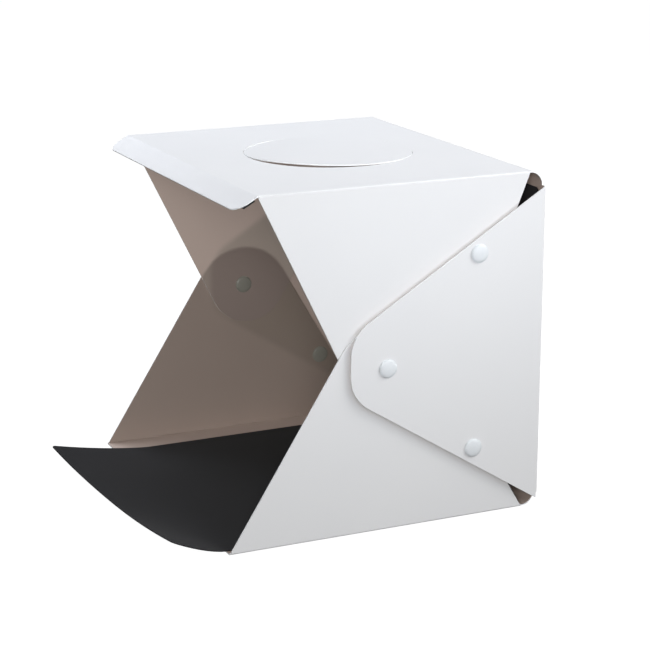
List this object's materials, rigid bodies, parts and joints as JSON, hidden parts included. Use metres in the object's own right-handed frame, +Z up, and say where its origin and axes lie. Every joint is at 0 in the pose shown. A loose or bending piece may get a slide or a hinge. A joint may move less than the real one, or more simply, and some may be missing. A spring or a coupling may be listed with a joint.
{
  "type": "light tent cube",
  "caption": "Foldable photo box of creased white sheet with snap-closed layered side flaps, round roof window with cover, lip light bar and black backdrop.",
  "frame": {"origin": "middle of the base panel's underside", "axes": "+Z up, -Y out of the open front, +X to the box's right seen from the front"},
  "size_m": [0.2492, 0.2706, 0.2303],
  "materials": {
    "sheet": "satin white polypropylene sheet, faintly see-through where one layer stands against light",
    "snap": "moulded white resin press stud with a slight sheen",
    "tape": "grey foam mounting tape",
    "bar_plastic": "black moulded plastic",
    "circuit": "white circuit board with soldered diodes",
    "diffuser": "frosted strip",
    "inlet_metal": "plated sheet steel shell",
    "backdrop_cloth": "matt black backdrop sheet"
  },
  "bodies": {
    "base": {"base_panel": "sheet", "rear_bottom_bend": "sheet", "backdrop": "backdrop_cloth"},
    "back": {"back_panel": "sheet", "rear_top_bend": "sheet"},
    "roof": {"roof_panel": "sheet"},
    "cover": {"window_cover": "sheet"},
    "lip": {"front_lip": "sheet", "light_bar_tape": "tape", "light_bar_tray": "bar_plastic", "light_bar_board": "circuit", "light_bar_diffuser": "diffuser", "light_bar_end_cap_right": "bar_plastic", "light_bar_end_cap_left": "bar_plastic", "light_power_inlet": "inlet_metal"},
    "roof_flap_right": {"roof_flap_right": "sheet", "roof_flap_stud_apex_right": "snap", "roof_flap_stud_upper_right": "snap", "roof_flap_cap_apex_right": "snap", "roof_flap_cap_upper_right": "snap"},
    "roof_flap_left": {"roof_flap_left": "sheet", "roof_flap_stud_apex_left": "snap", "roof_flap_stud_upper_left": "snap", "roof_flap_cap_apex_left": "snap", "roof_flap_cap_upper_left": "snap"},
    "bottom_flap_right": {"bottom_flap_right": "sheet", "bottom_flap_stud_right": "snap", "bottom_flap_cap_right": "snap"},
    "bottom_flap_left": {"bottom_flap_left": "sheet", "bottom_flap_stud_left": "snap", "bottom_flap_cap_left": "snap"},
    "back_flap_right": {"back_flap_right": "sheet", "back_flap_cap_apex_right": "snap", "back_flap_cap_lower_right": "snap", "back_flap_cap_upper_right": "snap", "back_flap_socket_apex_right": "snap", "back_flap_socket_lower_right": "snap", "back_flap_socket_upper_right": "snap"},
    "back_flap_left": {"back_flap_left": "sheet", "back_flap_cap_apex_left": "snap", "back_flap_cap_lower_left": "snap", "back_flap_cap_upper_left": "snap", "back_flap_socket_apex_left": "snap", "back_flap_socket_lower_left": "snap", "back_flap_socket_upper_left": "snap"}
  },
  "joints": [
    {"name": "back_fold", "type": "hinge", "parent": "base", "child": "back", "pos_m": [0, 0.10817, 0.00233], "axis": [-1, 0, 0], "range_deg": [0, 90], "deforming": ["rear_bottom_bend"]},
    {"name": "roof_fold", "type": "hinge", "parent": "back", "child": "roof", "pos_m": [0, 0.10817, 0.22567], "axis": [-1, 0, 0], "range_deg": [0, 90], "deforming": ["rear_top_bend"]},
    {"name": "cover_crease", "type": "hinge", "parent": "roof", "child": "cover", "pos_m": [0, 0.06563, 0.228], "axis": [-1, 0, 0], "range_deg": [0, 150]},
    {"name": "lip_crease", "type": "hinge", "parent": "roof", "child": "lip", "pos_m": [0, -0.08865, 0.2276], "axis": [-1, 0, 0], "range_deg": [-40, 29]},
    {"name": "back_flap_crease_right", "type": "hinge", "parent": "back", "child": "back_flap_right", "pos_m": [0.1226, 0.1105, 0.114], "axis": [0, 0, 1], "range_deg": [0, 90]},
    {"name": "back_flap_crease_left", "type": "hinge", "parent": "back", "child": "back_flap_left", "pos_m": [-0.1226, 0.1105, 0.114], "axis": [0, 0, -1], "range_deg": [0, 90]},
    {"name": "bottom_flap_crease_right", "type": "hinge", "parent": "base", "child": "bottom_flap_right", "pos_m": [0.1194, 0, 0], "axis": [0, 1, 0], "range_deg": [0, 54]},
    {"name": "bottom_flap_crease_left", "type": "hinge", "parent": "base", "child": "bottom_flap_left", "pos_m": [-0.1194, 0, 0], "axis": [0, -1, 0], "range_deg": [0, 54]},
    {"name": "roof_flap_crease_right", "type": "hinge", "parent": "roof", "child": "roof_flap_right", "pos_m": [0.1175, 0, 0.2269], "axis": [0, 1, 0], "range_deg": [0, 49.5]},
    {"name": "roof_flap_crease_left", "type": "hinge", "parent": "roof", "child": "roof_flap_left", "pos_m": [-0.1175, 0, 0.2269], "axis": [0, -1, 0], "range_deg": [0, 49.5]}
  ],
  "couplings": [
    {"joint": "back_flap_crease_right", "follows": "back_fold", "ratio": 1},
    {"joint": "back_flap_crease_left", "follows": "back_fold", "ratio": 1},
    {"joint": "bottom_flap_crease_right", "follows": "back_fold", "ratio": 0.6},
    {"joint": "bottom_flap_crease_left", "follows": "back_fold", "ratio": 0.6},
    {"joint": "roof_flap_crease_right", "follows": "roof_fold", "ratio": 0.55},
    {"joint": "roof_flap_crease_left", "follows": "roof_fold", "ratio": 0.55}
  ]
}
